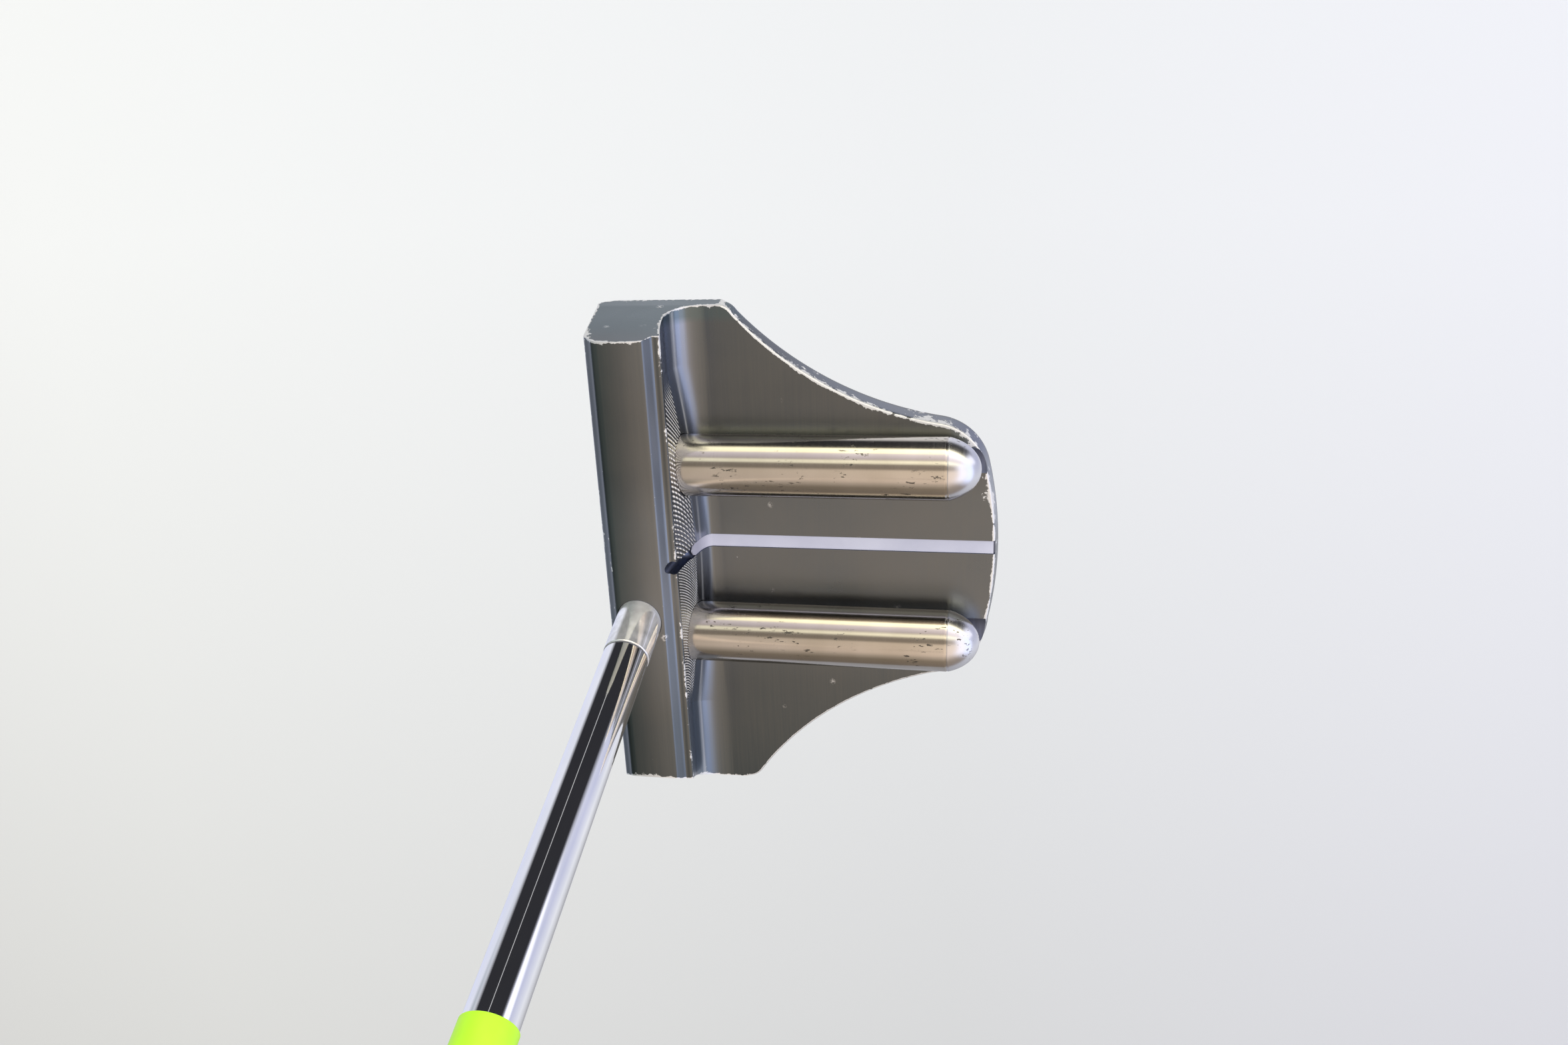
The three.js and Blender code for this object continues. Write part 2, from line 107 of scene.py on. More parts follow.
# ---- shaft line: from the top of the blade, leaning to the heel; heights run along it
SHAFT_FOOT = np.array([10.9, 8.8, 24.3])
LIE = math.radians(71.3)
SHAFT_AXIS = np.array([math.cos(LIE), 0.0, math.sin(LIE)])
POST_R, POST_TOP, POST_DEPTH = 4.66, 10.4, 12.0
SPIGOT_R, SPIGOT_TOP = 3.5, 32.0
TIP_R, BUTT_R, SHAFT_WALL = 4.51, 7.35, 0.6
FIRST_STEP, STEP_PITCH, STEP_COUNT, STEP_LENGTH = 145.0, 34.0, 13, 1.5
BAND_START, BAND_LENGTH, BAND_FILM = 88.0, 40.0, 0.3
CLUB_LENGTH, GRIP_LENGTH, GRIP_CAP = 864.0, 267.0, 4.0
GRIP_TOP = CLUB_LENGTH - SHAFT_FOOT[2] / math.sin(LIE)
GRIP_BOTTOM = GRIP_TOP - GRIP_LENGTH
SHAFT_SIDES = 128

# ---- bars and their screws
BAR_CHAMFER, BALL_SEAM = 0.5, 0.1
SCREW_Y, SCREW_R, SCREW_SINK, SCREW_HEIGHT = 62.0, 3.6, 0.3, 1.7
SHANK_R, SHANK_TOP = 1.8, 11.3
HEX_R, HEX_DEPTH = 1.45, 1.5

# ---- room left around each piece that is set into the head
CLEARANCE = 0.1

# ---- stage, in metres: the camera, its lens on a 36 mm sensor, and how far the floor is below the club
CAMERA_PLACE = Vector((-90.63, 83.77 + HEAD_SHIFT[1], 239.49)) * MM
CAMERA_RIGHT = Vector((0.0417, 0.9818, -0.1852))
CAMERA_FORWARD = Vector((0.3399, -0.1882, -0.9214))
CAMERA_LENS = 27.77
FLOOR_DROP = 0.6


# ==== mesh helpers

def add_object(name, data):
    piece = bpy.data.objects.new(name, data)
    bpy.context.scene.collection.objects.link(piece)
    return piece


@contextmanager
def editing(mesh):
    """A mesh as a bmesh that is written back afterwards."""
    shape = bmesh.new()
    shape.from_mesh(mesh)
    yield shape
    shape.to_mesh(mesh)
    shape.free()


def add_mesh(name, points, faces, slot, replaces=(), smooth_angle=30):
    """A piece from points in the club's frame. With a slot it rides on the one body and stands for CAD
    nodes; without one it is a cutter."""
    mesh = bpy.data.meshes.new(name)
    mesh.from_pydata((np.asarray(points) * MM).tolist(), [], faces)
    mesh.validate()
    with editing(mesh) as shape:
        bmesh.ops.recalc_face_normals(shape, faces=shape.faces)
    piece = add_object(name, mesh)
    shade(piece, smooth_angle)
    if slot:
        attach(piece, "root")
        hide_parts(*replaces)
    return piece


def shade(piece, angle):
    """Smooth shading, with the edges sharper than an angle in degrees kept sharp."""
    mesh = piece.data
    mesh.polygons.foreach_set("use_smooth", [True] * len(mesh.polygons))
    mesh.set_sharp_from_angle(angle=math.radians(angle))


def grid_faces(rows, columns, closed=True, flip=False):
    """Quads between rings of points, row by row."""
    r, c = np.meshgrid(np.arange(rows - 1), np.arange(columns if closed else columns - 1), indexing="ij")
    n = (c + 1) % columns
    quads = np.stack([r * columns + c, r * columns + n, (r + 1) * columns + n, (r + 1) * columns + c], -1)
    quads = quads.reshape(-1, 4)
    return (quads[:, ::-1] if flip else quads).tolist()


def cap_faces(rows, columns, flip=False):
    """One face over the first ring and one over the last."""
    first = list(range(columns))[::-1]
    last = [(rows - 1) * columns + c for c in range(columns)]
    return [first[::-1], last[::-1]] if flip else [first, last]


def closing_faces(rows, columns):
    """Quads from the last ring back to the first."""
    last = (rows - 1) * columns
    return [[last + c, last + (c + 1) % columns, (c + 1) % columns, c] for c in range(columns)]


def turns(count):
    """Angles that share out a full turn."""
    return np.linspace(0, 2 * np.pi, count, endpoint=False)


def circle(angle, radius, side, back):
    """Offsets round a circle that lies in the plane of two directions."""
    return np.outer(np.cos(angle) * radius, side) + np.outer(np.sin(angle) * radius, back)


def frame_about(axis):
    """Two directions square to an axis, then the axis at unit length. For the shaft the first points to the
    heel and the second to the rear."""
    axis = np.asarray(axis, float) / np.linalg.norm(axis)
    back = np.array([0.0, 1.0, 0.0]) if abs(axis[1]) < 0.9 else np.array([0.0, 0.0, 1.0])
    side = np.cross(back, axis)
    side /= np.linalg.norm(side)
    return side, np.cross(axis, side), axis


def turned(name, profile, foot, axis, sides, slot, replaces=(), smooth_angle=30):
    """A turned piece: rings of (radius, height) about an axis from a foot point. A profile that ends where
    it starts is a tube."""
    side, back, along = frame_about(axis)
    angle = turns(sides)
    points = np.concatenate([circle(angle, radius, side, back) + np.asarray(foot) + along * height
                             for radius, height in profile])
    if profile[0] == profile[-1]:
        points = points[:-sides]
        faces = grid_faces(len(profile) - 1, sides) + closing_faces(len(profile) - 1, sides)
    else:
        faces = grid_faces(len(profile), sides) + cap_faces(len(profile), sides)
    return add_mesh(name, points, faces, slot, replaces, smooth_angle)


def rounded(points, radius, steps=5):
    """An open profile with its inner corners rounded: each corner becomes a short curve."""
    points = [np.asarray(point, float) for point in points]
    out = [points[0]]
    for before, corner, after in zip(points, points[1:], points[2:]):
        sides = (before - corner, after - corner)
        lengths = [np.linalg.norm(side) for side in sides]
        reach = min(radius, lengths[0] / 2, lengths[1] / 2)
        start, end = [corner + side / length * reach for side, length in zip(sides, lengths)]
        for t in np.linspace(0, 1, steps):
            out.append((1 - t) ** 2 * start + 2 * t * (1 - t) * corner + t * t * end)
    out.append(points[-1])
    return [tuple(point) for point in out]


def apply_modifiers(piece):
    """Bakes a piece's modifiers into its mesh."""
    evaluated = piece.evaluated_get(bpy.context.evaluated_depsgraph_get())
    mesh = bpy.data.meshes.new_from_object(evaluated)
    piece.modifiers.clear()
    piece.data = mesh


def fill_holes(shape):
    """Closes holes, down to the hairline slits between points on one line."""
    bmesh.ops.holes_fill(shape, edges=[edge for edge in shape.edges if edge.is_boundary], sides=0)


def weld(piece, reach=0.004):
    """Joins points that share a place, closes what stays open and turns every face outwards."""
    with editing(piece.data) as shape:
        bmesh.ops.remove_doubles(shape, verts=shape.verts, dist=reach * MM)
        fill_holes(shape)
        bmesh.ops.recalc_face_normals(shape, faces=shape.faces)


def cut(piece, cutters):
    """Takes each cutter out of a piece, closes the slits that this leaves and deletes the cutters."""
    for cutter in cutters:
        modifier = piece.modifiers.new("cut", "BOOLEAN")
        modifier.operation = "DIFFERENCE"
        modifier.solver = "EXACT"
        modifier.object = cutter
    bpy.context.view_layer.update()
    apply_modifiers(piece)
    with editing(piece.data) as shape:
        fill_holes(shape)
    for cutter in cutters:
        bpy.data.objects.remove(cutter, do_unlink=True)


# ==== head

def smooth(value):
    """Eases from 0 to 1 as a value does, and stays there outside that range."""
    value = np.clip(value, 0, 1)
    return value * value * (3 - 2 * value)


def bezier(start, control, end, count, last=False):
    """Points of a quadratic curve; start, control and end hold (y, z) as arrays over the stations."""
    t = np.linspace(0, 1, count, endpoint=last)[:, None]
    return [(1 - t) ** 2 * a + 2 * t * (1 - t) * b + t * t * c for a, b, c in zip(start, control, end)]


def arc_points(start, end, bulge, count):
    """Points on an arc without its end; bulge is its height, positive to the left of travel."""
    start, end = np.array(start, float), np.array(end, float)
    chord = end - start
    half = np.linalg.norm(chord) / 2
    left = np.array([-chord[1], chord[0]]) / (2 * half)
    radius = (half * half + bulge * bulge) / (2 * bulge)
    centre = (start + end) / 2 + left * (bulge - radius)
    angle = math.atan2(start[1] - centre[1], start[0] - centre[0])
    turn = -4 * math.atan(bulge / half)
    sweep = angle + turn * np.linspace(0, 1, count, endpoint=False)
    return centre + abs(radius) * np.stack([np.cos(sweep), np.sin(sweep)], -1)


def plan_outline():
    """The floor's outline from the toe corner round the rear to the heel corner."""
    stretches = [
        arc_points((TOE_X, CORNER_Y), (-48.3, 27.3), 0.4, 12),
        arc_points((-48.3, 27.3), (-26.1, 68), -3.9, 60),
        arc_points((-26.1, 68), (-17, 77.8), 2.2, 40),
        arc_points((-17, 77.8), (17.5, 77.9), 1.85, 40),
        arc_points((17.5, 77.9), (29.1, 67), 2.9, 40),
        arc_points((29.1, 67), (HEEL_X - 2.2, 28.6), -4.1, 60),
        arc_points((HEEL_X - 2.2, 28.6), (HEEL_X - 0.3, 26.2), 0.3, 8),
        np.array([(HEEL_X - 0.3, 26.2), (HEEL_X, CORNER_Y)]),
    ]
    return np.concatenate(stretches)


def outline_at(share):
    """Point and outward normal of the outline at each share of its length."""
    points = plan_outline()
    length = np.concatenate([[0], np.cumsum(np.linalg.norm(np.diff(points, axis=0), axis=1))])
    length /= length[-1]

    def spot(share):
        return np.stack([np.interp(share, length, points[:, axis]) for axis in (0, 1)])

    step = 0.004
    tangent = spot(share + step) - spot(share - step)
    tangent /= np.linalg.norm(tangent, axis=0)
    return spot(share), np.stack([-tangent[1], tangent[0]])


def end_x(z, toe):
    """Where an end of the head is at a height."""
    rise = z - FLOOR_Z
    if toe:
        return TOE_X + np.where(rise > 0, TOE_SLOPE, SKIRT_SLOPE) * rise
    return HEEL_X - np.where(rise > 0, HEEL_SLOPE, SKIRT_SLOPE) * rise


def stations():
    """Shares of the head's length: dense where the wall is fly-cut, wider at both ends."""
    low, middle, high = [(x - TOE_X) / (HEEL_X - TOE_X) for x in (-FLYCUT_HALF, 0.0, FLYCUT_HALF + 3)]
    fine = 250
    return np.concatenate([
        np.linspace(0, low, 26, endpoint=False),
        np.linspace(low, middle, fine, endpoint=False),
        np.linspace(middle, high, round(fine * 1.5), endpoint=False),
        np.linspace(high, 1, 36),
    ])


def flycut(x, z):
    """How high the metal stands, from 0 to 1, where a fly cutter crossed the wall. The arcs are fuller near
    FULL_X and break into dashes from DASH_START on; on the heel side two sets cross."""
    rise = (FLYCUT_CENTRE_Z - z) / FLYCUT_RADIUS
    reach = FLYCUT_RADIUS * (1 - np.sqrt(np.clip(1 - rise * rise, 0, 1)))

    def scallop(place, pitch):
        return np.abs(2 * ((place / pitch) % 1.0) - 1) ** FLYCUT_SHARPNESS

    arcs = scallop(x - reach, FLYCUT_FEED["toe"])
    full = np.exp(-((x - FULL_X) / FULL_WIDTH) ** 2)
    breaks = 1 - scallop(z + DASH_LEAN * x, DASH_PITCH) ** DASH_SHARPNESS
    broken = smooth((x - DASH_START) / DASH_FADE)
    dashes = np.clip(arcs + FULL_LIFT * full, 0, 1) * (1 - (1 - breaks) * broken)
    crossed = np.minimum(scallop(x - reach, FLYCUT_FEED["heel"]), scallop(x + reach, FLYCUT_FEED["heel"]))
    return np.where(x < 0, dashes, np.minimum(1, crossed * CROSS_LIFT))


class Skin:
    """The head's skin as rows of points from toe to heel, one after the other round the section. Each
    point has its wear, how bright a crest it is with its painted highlight, and how much painted bluish
    reflection it takes."""

    def __init__(self):
        self.share = stations()
        self.x_floor = TOE_X + self.share * (HEEL_X - TOE_X)
        self.bulge = np.clip(1 - (self.x_floor / FLYCUT_HALF) ** 2, 0, 1)
        self.camber = np.clip(np.abs(self.x_floor) - SOLE_PAD_HALF, 0, None) ** 2 / (2 * SOLE_RADIUS)
        self.rim, self.normal = outline_at(self.share)
        self.foot_y = self.between(FILLET_FOOT_END, FILLET_FOOT_MIDDLE)
        self.crease = [self.between(end, middle) for end, middle in zip(CREASE_END, CREASE_MIDDLE)]
        self.zeros = np.zeros_like(self.share)
        self.rows = []

    def add(self, x, y, z, wear=0.0, crest=0.0, fresh=0.0):
        """A row, each value one number or one for each station."""
        self.rows.append([value + self.zeros for value in (x, y, z, wear, crest, fresh)])

    def across(self, z):
        """The x of the stations at a height, between the leaning ends."""
        return end_x(z, True) + self.share * (end_x(z, False) - end_x(z, True))

    def add_across(self, y, z, *values, **named):
        self.add(self.across(z), y, z, *values, **named)

    def between(self, end, middle):
        """A value that goes from one at the wall's ends to another at its middle."""
        return end + (middle - end) * self.bulge


def add_sole(skin):
    """The sole from behind the leading edge to the skirt, with its rounded rim."""
    skirt_foot = RIM_HEIGHT + skin.camber
    foot = skin.rim + skin.normal * (SKIRT_SLOPE * (FLOOR_Z - skirt_foot))
    under = foot - skin.normal * RIM_WIDTH
    front = skin.across(skin.camber)
    for t in np.linspace(0, 1, 14):
        skin.add(front * (1 - t) + under[0] * t, SOLE_FRONT_Y * (1 - t) + under[1] * t, skin.camber)
    for angle in np.linspace(0, math.pi / 2, 5)[1:]:
        out = under + skin.normal * (RIM_WIDTH * math.sin(angle))
        skin.add(*out, skin.camber + RIM_HEIGHT * (1 - math.cos(angle)), 0.25)


def add_skirt(skin):
    """The leaning side of the floor plate and its worn, rounded top edge, with a painted bluish
    reflection that is strongest at the toe's rear.
    """
    skirt_foot = RIM_HEIGHT + skin.camber
    # painted bluish reflection, strongest towards the toe's rear
    fresh = smooth((skin.rim[1] - 26) / 30) * smooth(-skin.rim[0] / 8)
    for t in np.linspace(0, 1, 6)[1:]:
        z = skirt_foot * (1 - t) + (FLOOR_Z - EDGE) * t
        out = skin.rim + skin.normal * (SKIRT_SLOPE * (FLOOR_Z - z))
        skin.add(*out, z, 0.25 + 0.5 * t ** 2, fresh=fresh)
    for angle in np.linspace(0, math.pi / 2, 5)[1:]:
        out = skin.rim - skin.normal * (EDGE * (1 - math.cos(angle)))
        skin.add(*out, FLOOR_Z - EDGE + EDGE * math.sin(angle), 1.0 if angle < 1.5 else 0.9)


def add_floor(skin):
    """The floor from its worn edge to the foot of the fillet; the toe side is worn further in."""
    inner = skin.rim - skin.normal * EDGE
    toe_side = smooth(-skin.x_floor / 12)
    for t in np.concatenate([[0.006, 0.014, 0.026], np.linspace(0.05, 1, 26)]):
        worn = (0.55 + 0.4 * toe_side) * np.exp(-t * (75 - 40 * toe_side))
        y = inner[1] * (1 - t) + skin.foot_y * t
        skin.add(inner[0] * (1 - t) + skin.x_floor * t, y, FLOOR_Z, worn)


def add_fillet(skin):
    """The fillet from the floor up to the crease, with a pale line along it and a painted bluish
    reflection that grows from the floor upwards.
    """
    crease_y, crease_z = skin.crease
    start = (skin.foot_y, FLOOR_Z + skin.zeros)
    control = (crease_y + FILLET_REACH, FLOOR_Z + FILLET_LIFT + skin.zeros)
    end = (crease_y + FILLET_LIP * skin.bulge, crease_z - FILLET_DROP)
    for y, z in zip(*bezier(start, control, end, 20, last=True)):
        if np.allclose(y, skin.rows[-1][1]):
            continue
        line = LINE_LIGHT * np.exp(-(((z - LINE_Z) / LINE_WIDTH) ** 2))
        # the last value is a painted bluish reflection that grows from the floor up the fillet
        skin.add_across(y, z, crest=line, fresh=smooth((z - FLOOR_Z) / 1.5))


def add_wall(skin):
    """The wall above the crease, fly-cut except near its ends and edges."""
    crease_z = skin.crease[1]
    control = (15.45 + 1.95 * skin.bulge, 17.0 + skin.zeros)
    top = (WALL_TOP[0] + skin.zeros, WALL_TOP[1] - 0.3 + skin.zeros)
    fade = smooth((FLYCUT_HALF - np.abs(skin.x_floor)) / FLYCUT_FADE)
    for y, z in zip(*bezier(skin.crease, control, top, 84)):
        x = skin.across(z)
        inside_edge = smooth((z - crease_z) / 0.5) * smooth((WALL_TOP[1] - z) / 0.4)
        ridge = flycut(x, z)
        depth = FLYCUT_DEPTH * (1 - ridge) * fade * inside_edge
        worn = smooth(1 - (WALL_TOP[1] - z)) * 0.3
        # the crests of the fly cuts: bare metal carrying a painted highlight
        crest = smooth((ridge - 0.36) / 0.36) * fade * inside_edge
        # the last value is a painted bluish reflection, weaker on the fly-cut field
        skin.add(x, y - depth, z, worn, crest, 1 - 0.5 * fade * inside_edge)


def add_top(skin):
    """The rear ledge, the step, the crowned top and the front edge, as (y, z, wear)."""
    toe_corner = smooth((TOE_X + 7 - skin.x_floor) / 5)
    knocks = 0.42 + 0.6 * toe_corner + 0.5 * np.exp(-((skin.x_floor - 33) / 6) ** 2)
    ledge = ((16.9, 21.4, 0.8), (16.88, 21.62, 1.0), (16.74, 21.84, 1.0), (16.5, 21.93, 0.75),
             (16.2, 21.95, 0.1), (15.95, 21.93, 0.0), (15.7, 21.95, 0.0), (15.5, 21.97, 0.0))
    step = ((15.38, 22.05, 0.0), (15.05, 22.64, 0.0), (14.7, 23.27, 0.0), (14.35, 23.9, 0.1),
            (14.17, 24.2, 0.25))
    step_top = ((14.05, 24.32, 0.2), (13.85, 24.4, 0.05), (13.5, 24.46, 0.0), (13.2, 24.5, 0.0))
    front_edge = ((4.4, 24.28, 0.0), (4.1, 24.12, 0.12), (3.85, 23.9, 0.35), (3.6, 23.6, 0.25),
                  (3.2, 23.15, 0.1), (2.7, 22.65, 0.1), (2.3, 22.25, 0.2), (2.0, 21.95, 0.5),
                  (1.84, 21.7, 0.55), (*FACE_TOP, 0.3))
    for y, z, worn in ledge:
        skin.add_across(y, z, worn * (knocks if y > 16 else 1.0))
    # the step takes a little painted bluish reflection
    for y, z, worn in step:
        skin.add_across(y, z, worn, fresh=0.25)
    for y, z, worn in step_top:
        skin.add_across(y, z, worn)
    for y in np.linspace(12.6, 4.9, 14):
        bow = (y - CROWN_MIDDLE) / CROWN_HALF
        skin.add_across(y, CROWN_TOP - CROWN_FALL * bow * bow)
    for y, z, worn in front_edge:
        skin.add_across(y, z, worn)


def add_face(skin):
    """The face with fine level grooves, then the leading edge, which rises with the sole's camber."""
    front_y, high_z = FACE_TOP
    for t in np.linspace(0, 1, 96)[1:]:
        z = high_z * (1 - t) + (FACE_LOW_Z + skin.camber) * t
        y = front_y + (LEAD_Y - front_y) * (high_z - z) / FACE_HEIGHT
        groove = FACE_GROOVE_DEPTH * math.sin(t * FACE_GROOVES * 2 * math.pi)
        skin.add_across(y + groove * (smooth(t * 12) * smooth((1 - t) * 12)), z)
    for y, z in ((-0.99, 2.5), (-0.85, 1.9), (-0.45, 1.3), (0.2, 0.8), (1.2, 0.4), (2.6, 0.12),
                 (4.0, 0.02)):
        skin.add_across(y, skin.camber + z, 0.4 if z > 1 else 0.1)


def head_points():
    """All points of the head, ring by ring from toe to heel: x, y, z, wear, crest with its painted
    highlight, and painted bluish reflection.
    """
    skin = Skin()
    for part in (add_sole, add_skirt, add_floor, add_fillet, add_wall, add_top, add_face):
        part(skin)
    return np.array(skin.rows).transpose(2, 0, 1)


def inside(spots, outline):
    """Which of the spots are inside a closed outline."""
    ahead = np.roll(outline, -1, axis=0)
    y, z = spots[:, None, 0], spots[:, None, 1]
    spans = (outline[None, :, 1] > z) != (ahead[None, :, 1] > z)
    rise = ahead[:, 1] - outline[:, 1]
    slope = (ahead[:, 0] - outline[:, 0]) / np.where(rise == 0, 1e-12, rise)
    crossing = outline[None, :, 0] + (z - outline[None, :, 1]) * slope[None]
    return np.sum(spans & (y < crossing), axis=1) % 2 == 1


def end_cap(ring, toe, pitch=0.55):
    """A flat end of the head as a fine net of triangles, worn only near its rim."""
    outline = ring[:, 1:3]
    low, high = outline.min(axis=0), outline.max(axis=0)
    grid = np.stack(np.meshgrid(np.arange(low[0], high[0], pitch), np.arange(low[1], high[1], pitch)), -1)
    spots = grid.reshape(-1, 2)
    clear = np.min(np.linalg.norm(spots[:, None] - outline[None], axis=2), axis=1)
    spots = spots[(clear > 0.25) & inside(spots, outline)]
    vectors = [Vector(point) for point in np.concatenate([outline, spots]).tolist()]
    net = delaunay_2d_cdt(vectors, [], [list(range(len(outline)))], 0, 1e-6, False)
    places = np.array([tuple(point) for point in net[0]])
    triangles = np.array([tuple(face) for face in net[2]])
    triangles = triangles[inside(places[triangles].mean(axis=1), outline)]
    distance = np.linalg.norm(places[:, None] - outline[None], axis=2)
    gap = distance.min(axis=1)
    x = end_x(places[:, 1], toe)
    points = np.column_stack([x, places, np.exp(-gap / 0.8), np.zeros((len(x), 2))])
    return points, triangles.tolist()


def sight_path():
    """The sight line as (y, z) points from the rear along the floor and up the fillet, with the direction
    off the surface at each."""
    y, z = CREASE_MIDDLE
    foot, control = (FILLET_FOOT_MIDDLE, FLOOR_Z), (y + FILLET_REACH, FLOOR_Z + FILLET_LIFT)
    fillet = bezier(foot, control, (y + FILLET_LIP, z - FILLET_DROP), 14, last=True)
    floor_ys = (REAR_Y + 5, *np.linspace(REAR_Y - 2, FILLET_FOOT_MIDDLE, 20))
    wall = [(y + 0.02, z + 0.4), (y - 0.08, z + 1.1), (y - 0.18, z + 1.8)]
    path = np.array([*((floor_y, FLOOR_Z) for floor_y in floor_ys), *np.hstack(fillet)[1:], *wall])
    tangent = np.gradient(path, axis=0)
    tangent /= np.linalg.norm(tangent, axis=1, keepdims=True)
    return path, np.stack([tangent[:, 1], -tangent[:, 0]], -1)


def sight_cutter(above=0.6):
    """Cuts the groove of the sight line, from its bottom to a little above the surface."""
    low, high = -SIGHT_DEPTH, above
    rings = []
    for (y, z), (uy, uz) in zip(*sight_path()):
        corners = ((-SIGHT_HALF, low), (SIGHT_HALF, low), (SIGHT_HALF, high), (-SIGHT_HALF, high))
        rings.append([(x, y + uy * off, z + uz * off) for x, off in corners])
    points = np.array(rings).reshape(-1, 3) + HEAD_SHIFT
    return add_mesh("groove", points, grid_faces(len(rings), 4) + cap_faces(len(rings), 4), None)


def notch_cutter():
    """Cuts the round groove, as wide as the sight line, that runs down the wall to it."""
    path = np.array([(16.1, 26.0), (16.15, 21.0), (16.25, 18.0), (16.5, 15.5), (16.8, 14.2), (17.3, 13.1),
                     (18.3, 12.0)])
    sides = 40
    angle = turns(sides)
    rings = [np.stack([SIGHT_HALF * np.cos(angle), y + SIGHT_HALF * np.sin(angle), np.full(sides, z)], -1)
             for y, z in path]
    points = np.concatenate(rings) + HEAD_SHIFT
    faces = grid_faces(len(path), sides, flip=True) + cap_faces(len(path), sides, flip=True)
    return add_mesh("notch_cutter", points, faces, None)


def head_cutters():
    """What is cut out of the head: a bore and a screw hole for each bar, the sight line and the socket."""
    cutters = []
    for x, z, radius, front, _ in BARS.values():
        bore = [(radius + CLEARANCE, front - 0.3), (radius + CLEARANCE, 95.0)]
        cutters.append(turned("bore", bore, np.array([x, 0, z]) + HEAD_SHIFT, (0, 1, 0), 96, None))
        seat, shank = SCREW_R + 0.12, SHANK_R + CLEARANCE
        hole = [(seat, -3.0), (seat, SCREW_SINK + 0.2), (shank, SCREW_SINK + 2.0), (shank, 8.0)]
        cutters.append(turned("hole", hole, np.array([x, SCREW_Y, 0]) + HEAD_SHIFT, (0, 0, 1), 64, None))
    cutters += [sight_cutter(), notch_cutter()]
    socket = [(POST_R + CLEARANCE, -POST_DEPTH - 0.4), (POST_R + CLEARANCE, 12.0)]
    cutters.append(turned("socket", socket, SHAFT_FOOT + HEAD_SHIFT, SHAFT_AXIS, 96, None))
    return cutters


def head_body():
    """The head: its skin and two flat ends, welded, then cut. Cut surfaces take the second material."""
    rings = head_points()
    for last, step, toe in ((0, 1, True), (-1, -1, False)):
        rings[last, :, 0] = end_x(rings[last, :, 2], toe)
        for place in range(5):
            ring = rings[last + step * place]
            gap = np.abs(ring[:, 0] - rings[last, :, 0])
            ring[:, 3] = np.maximum(ring[:, 3], np.exp(-gap / 0.5))
    count, around = rings.shape[:2]
    flat = rings.reshape(-1, 6)
    faces = grid_faces(count, around)
    for ring, toe in ((rings[0], True), (rings[-1], False)):
        points, triangles = end_cap(ring, toe)
        faces += [[len(flat) + corner for corner in face] for face in triangles]
        flat = np.concatenate([flat, points])
    piece = add_mesh("head_milled", flat[:, :3] + HEAD_SHIFT, faces, "milled_head", ["head_body"])
    # the crest column carries a painted highlight and the last column a painted bluish reflection
    for column, name in ((3, "wear"), (4, "crest"), (5, "fresh")):
        attribute = piece.data.attributes.new(name, "FLOAT", "POINT")
        attribute.data.foreach_set("value", flat[:, column].astype(np.float32))
    weld(piece)
    cutters = head_cutters()
    for new in (milled_aluminium(), bored_aluminium()):
        for part in (piece, *cutters):
            part.data.materials.append(new)
    for cutter in cutters:
        cutter.data.polygons.foreach_set("material_index", [1] * len(cutter.data.polygons))
    cut(piece, cutters)
    shade(piece, 32)
    return piece


# ==== pieces on the head

def bar(name, node, facts):
    """A round bar with a ball end past a fine seam. Its "ball" attribute marks the points of the ball."""
    x, z, radius, front, tip = facts
    seam = tip - radius
    profile = [(0.3, front), (radius - BAR_CHAMFER, front), (radius, front + BAR_CHAMFER)]
    profile += [(radius, y) for y in np.linspace(front + 1, seam - 0.25, 190)]
    profile += [(radius - BALL_SEAM, seam - 0.12), (radius - BALL_SEAM, seam)]
    kink = math.radians(18)
    for angle in np.linspace(kink + 0.02, math.pi / 2 - 0.02, 44):
        rise = (math.sin(angle) - math.sin(kink)) / (1 - math.sin(kink))
        profile.append((radius * math.cos(angle) / math.cos(kink), seam + radius * rise))
    foot = np.array([x, 0, z]) + HEAD_SHIFT
    ball_y = (seam + HEAD_SHIFT[1] - 0.01) * MM
    piece = turned(name, profile, foot, (0, 1, 0), 144, "bar_steel", [node],
                   smooth_angle=40)
    ball = piece.data.attributes.new("ball", "FLOAT", "POINT")
    ball.data.foreach_set("value", [float(point.co.y > ball_y) for point in piece.data.vertices])
    return piece


def sight_paint():
    """Paint with a round tip on the fillet and a slightly hollow surface."""
    path, up = sight_path()
    across = np.linspace(-1, 1, 13)
    drops = [-PAINT_SINK - PAINT_HOLLOW * (1 - a * a) for a in across]
    depth = SIGHT_DEPTH - PAINT_GAP
    rings = []
    for k, ((y, z), (uy, uz)) in enumerate(zip(path[1:], up[1:])):
        left = (len(path) - 2 - k) / 3.0
        width = (SIGHT_HALF - PAINT_GAP) * math.sqrt((left * (2 - left) if left < 1 else 1.0) + 0.002)
        top = [(width * a, y + uy * drop, z + uz * drop) for a, drop in zip(across, drops)]
        low = [(width * a, y - uy * depth, z - uz * depth) for a in across[::-1]]
        rings.append(top + low)
    rings[0] = [(x, REAR_Y - 0.3, z) for x, y, z in rings[0]]
    points = np.array(rings).reshape(-1, 3) + HEAD_SHIFT
    around = 2 * len(across)
    faces = grid_faces(len(rings), around, flip=True) + cap_faces(len(rings), around, flip=True)
    return add_mesh("sight_paint", points, faces, "sight_paint", ["sight_line_paint"])


